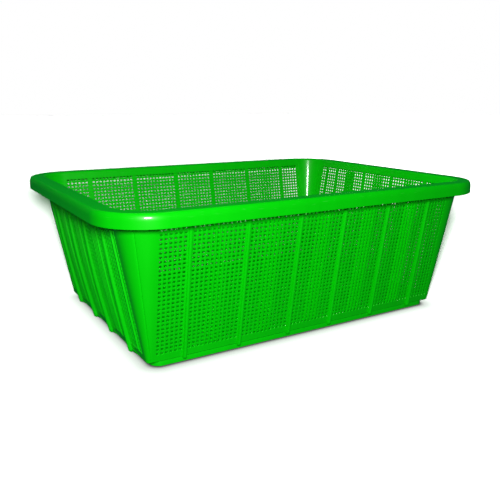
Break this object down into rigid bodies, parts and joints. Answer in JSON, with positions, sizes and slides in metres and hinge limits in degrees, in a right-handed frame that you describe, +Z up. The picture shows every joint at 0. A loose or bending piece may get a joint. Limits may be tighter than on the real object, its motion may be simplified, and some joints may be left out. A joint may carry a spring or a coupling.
{
  "type": "perforated crate",
  "caption": "Open-topped rectangular harvest crate with drafted, ribbed and finely perforated walls, cone-shaped corners, a turned-down rim and a drained floor.",
  "frame": {"origin": "middle of the footprint, on the surface that the foot ring stands on", "axes": "+X along the long side, +Y across towards the back, +Z up out of the open mouth"},
  "size_m": [0.6, 0.45, 0.205],
  "materials": {
    "crate_plastic": "gloss moulded polyolefin, bright green"
  },
  "bodies": {
    "root": {"rim_deck": "crate_plastic", "rim_lip": "crate_plastic", "corner_posts": "crate_plastic", "front_wall_uprights": "crate_plastic", "front_wall_level_strands": "crate_plastic", "front_rib_1": "crate_plastic", "front_rib_2": "crate_plastic", "front_rib_3": "crate_plastic", "front_rib_4": "crate_plastic", "front_rib_5": "crate_plastic", "front_rib_6": "crate_plastic", "back_wall_uprights": "crate_plastic", "back_wall_level_strands": "crate_plastic", "back_rib_1": "crate_plastic", "back_rib_2": "crate_plastic", "back_rib_3": "crate_plastic", "back_rib_4": "crate_plastic", "back_rib_5": "crate_plastic", "back_rib_6": "crate_plastic", "left_wall_uprights": "crate_plastic", "left_wall_level_strands": "crate_plastic", "left_rib_1": "crate_plastic", "left_rib_2": "crate_plastic", "left_rib_3": "crate_plastic", "left_rib_4": "crate_plastic", "right_wall_uprights": "crate_plastic", "right_wall_level_strands": "crate_plastic", "right_rib_1": "crate_plastic", "right_rib_2": "crate_plastic", "right_rib_3": "crate_plastic", "right_rib_4": "crate_plastic", "foot_ring": "crate_plastic", "floor_long_strands": "crate_plastic", "floor_cross_strands": "crate_plastic"}
  },
  "joints": []
}
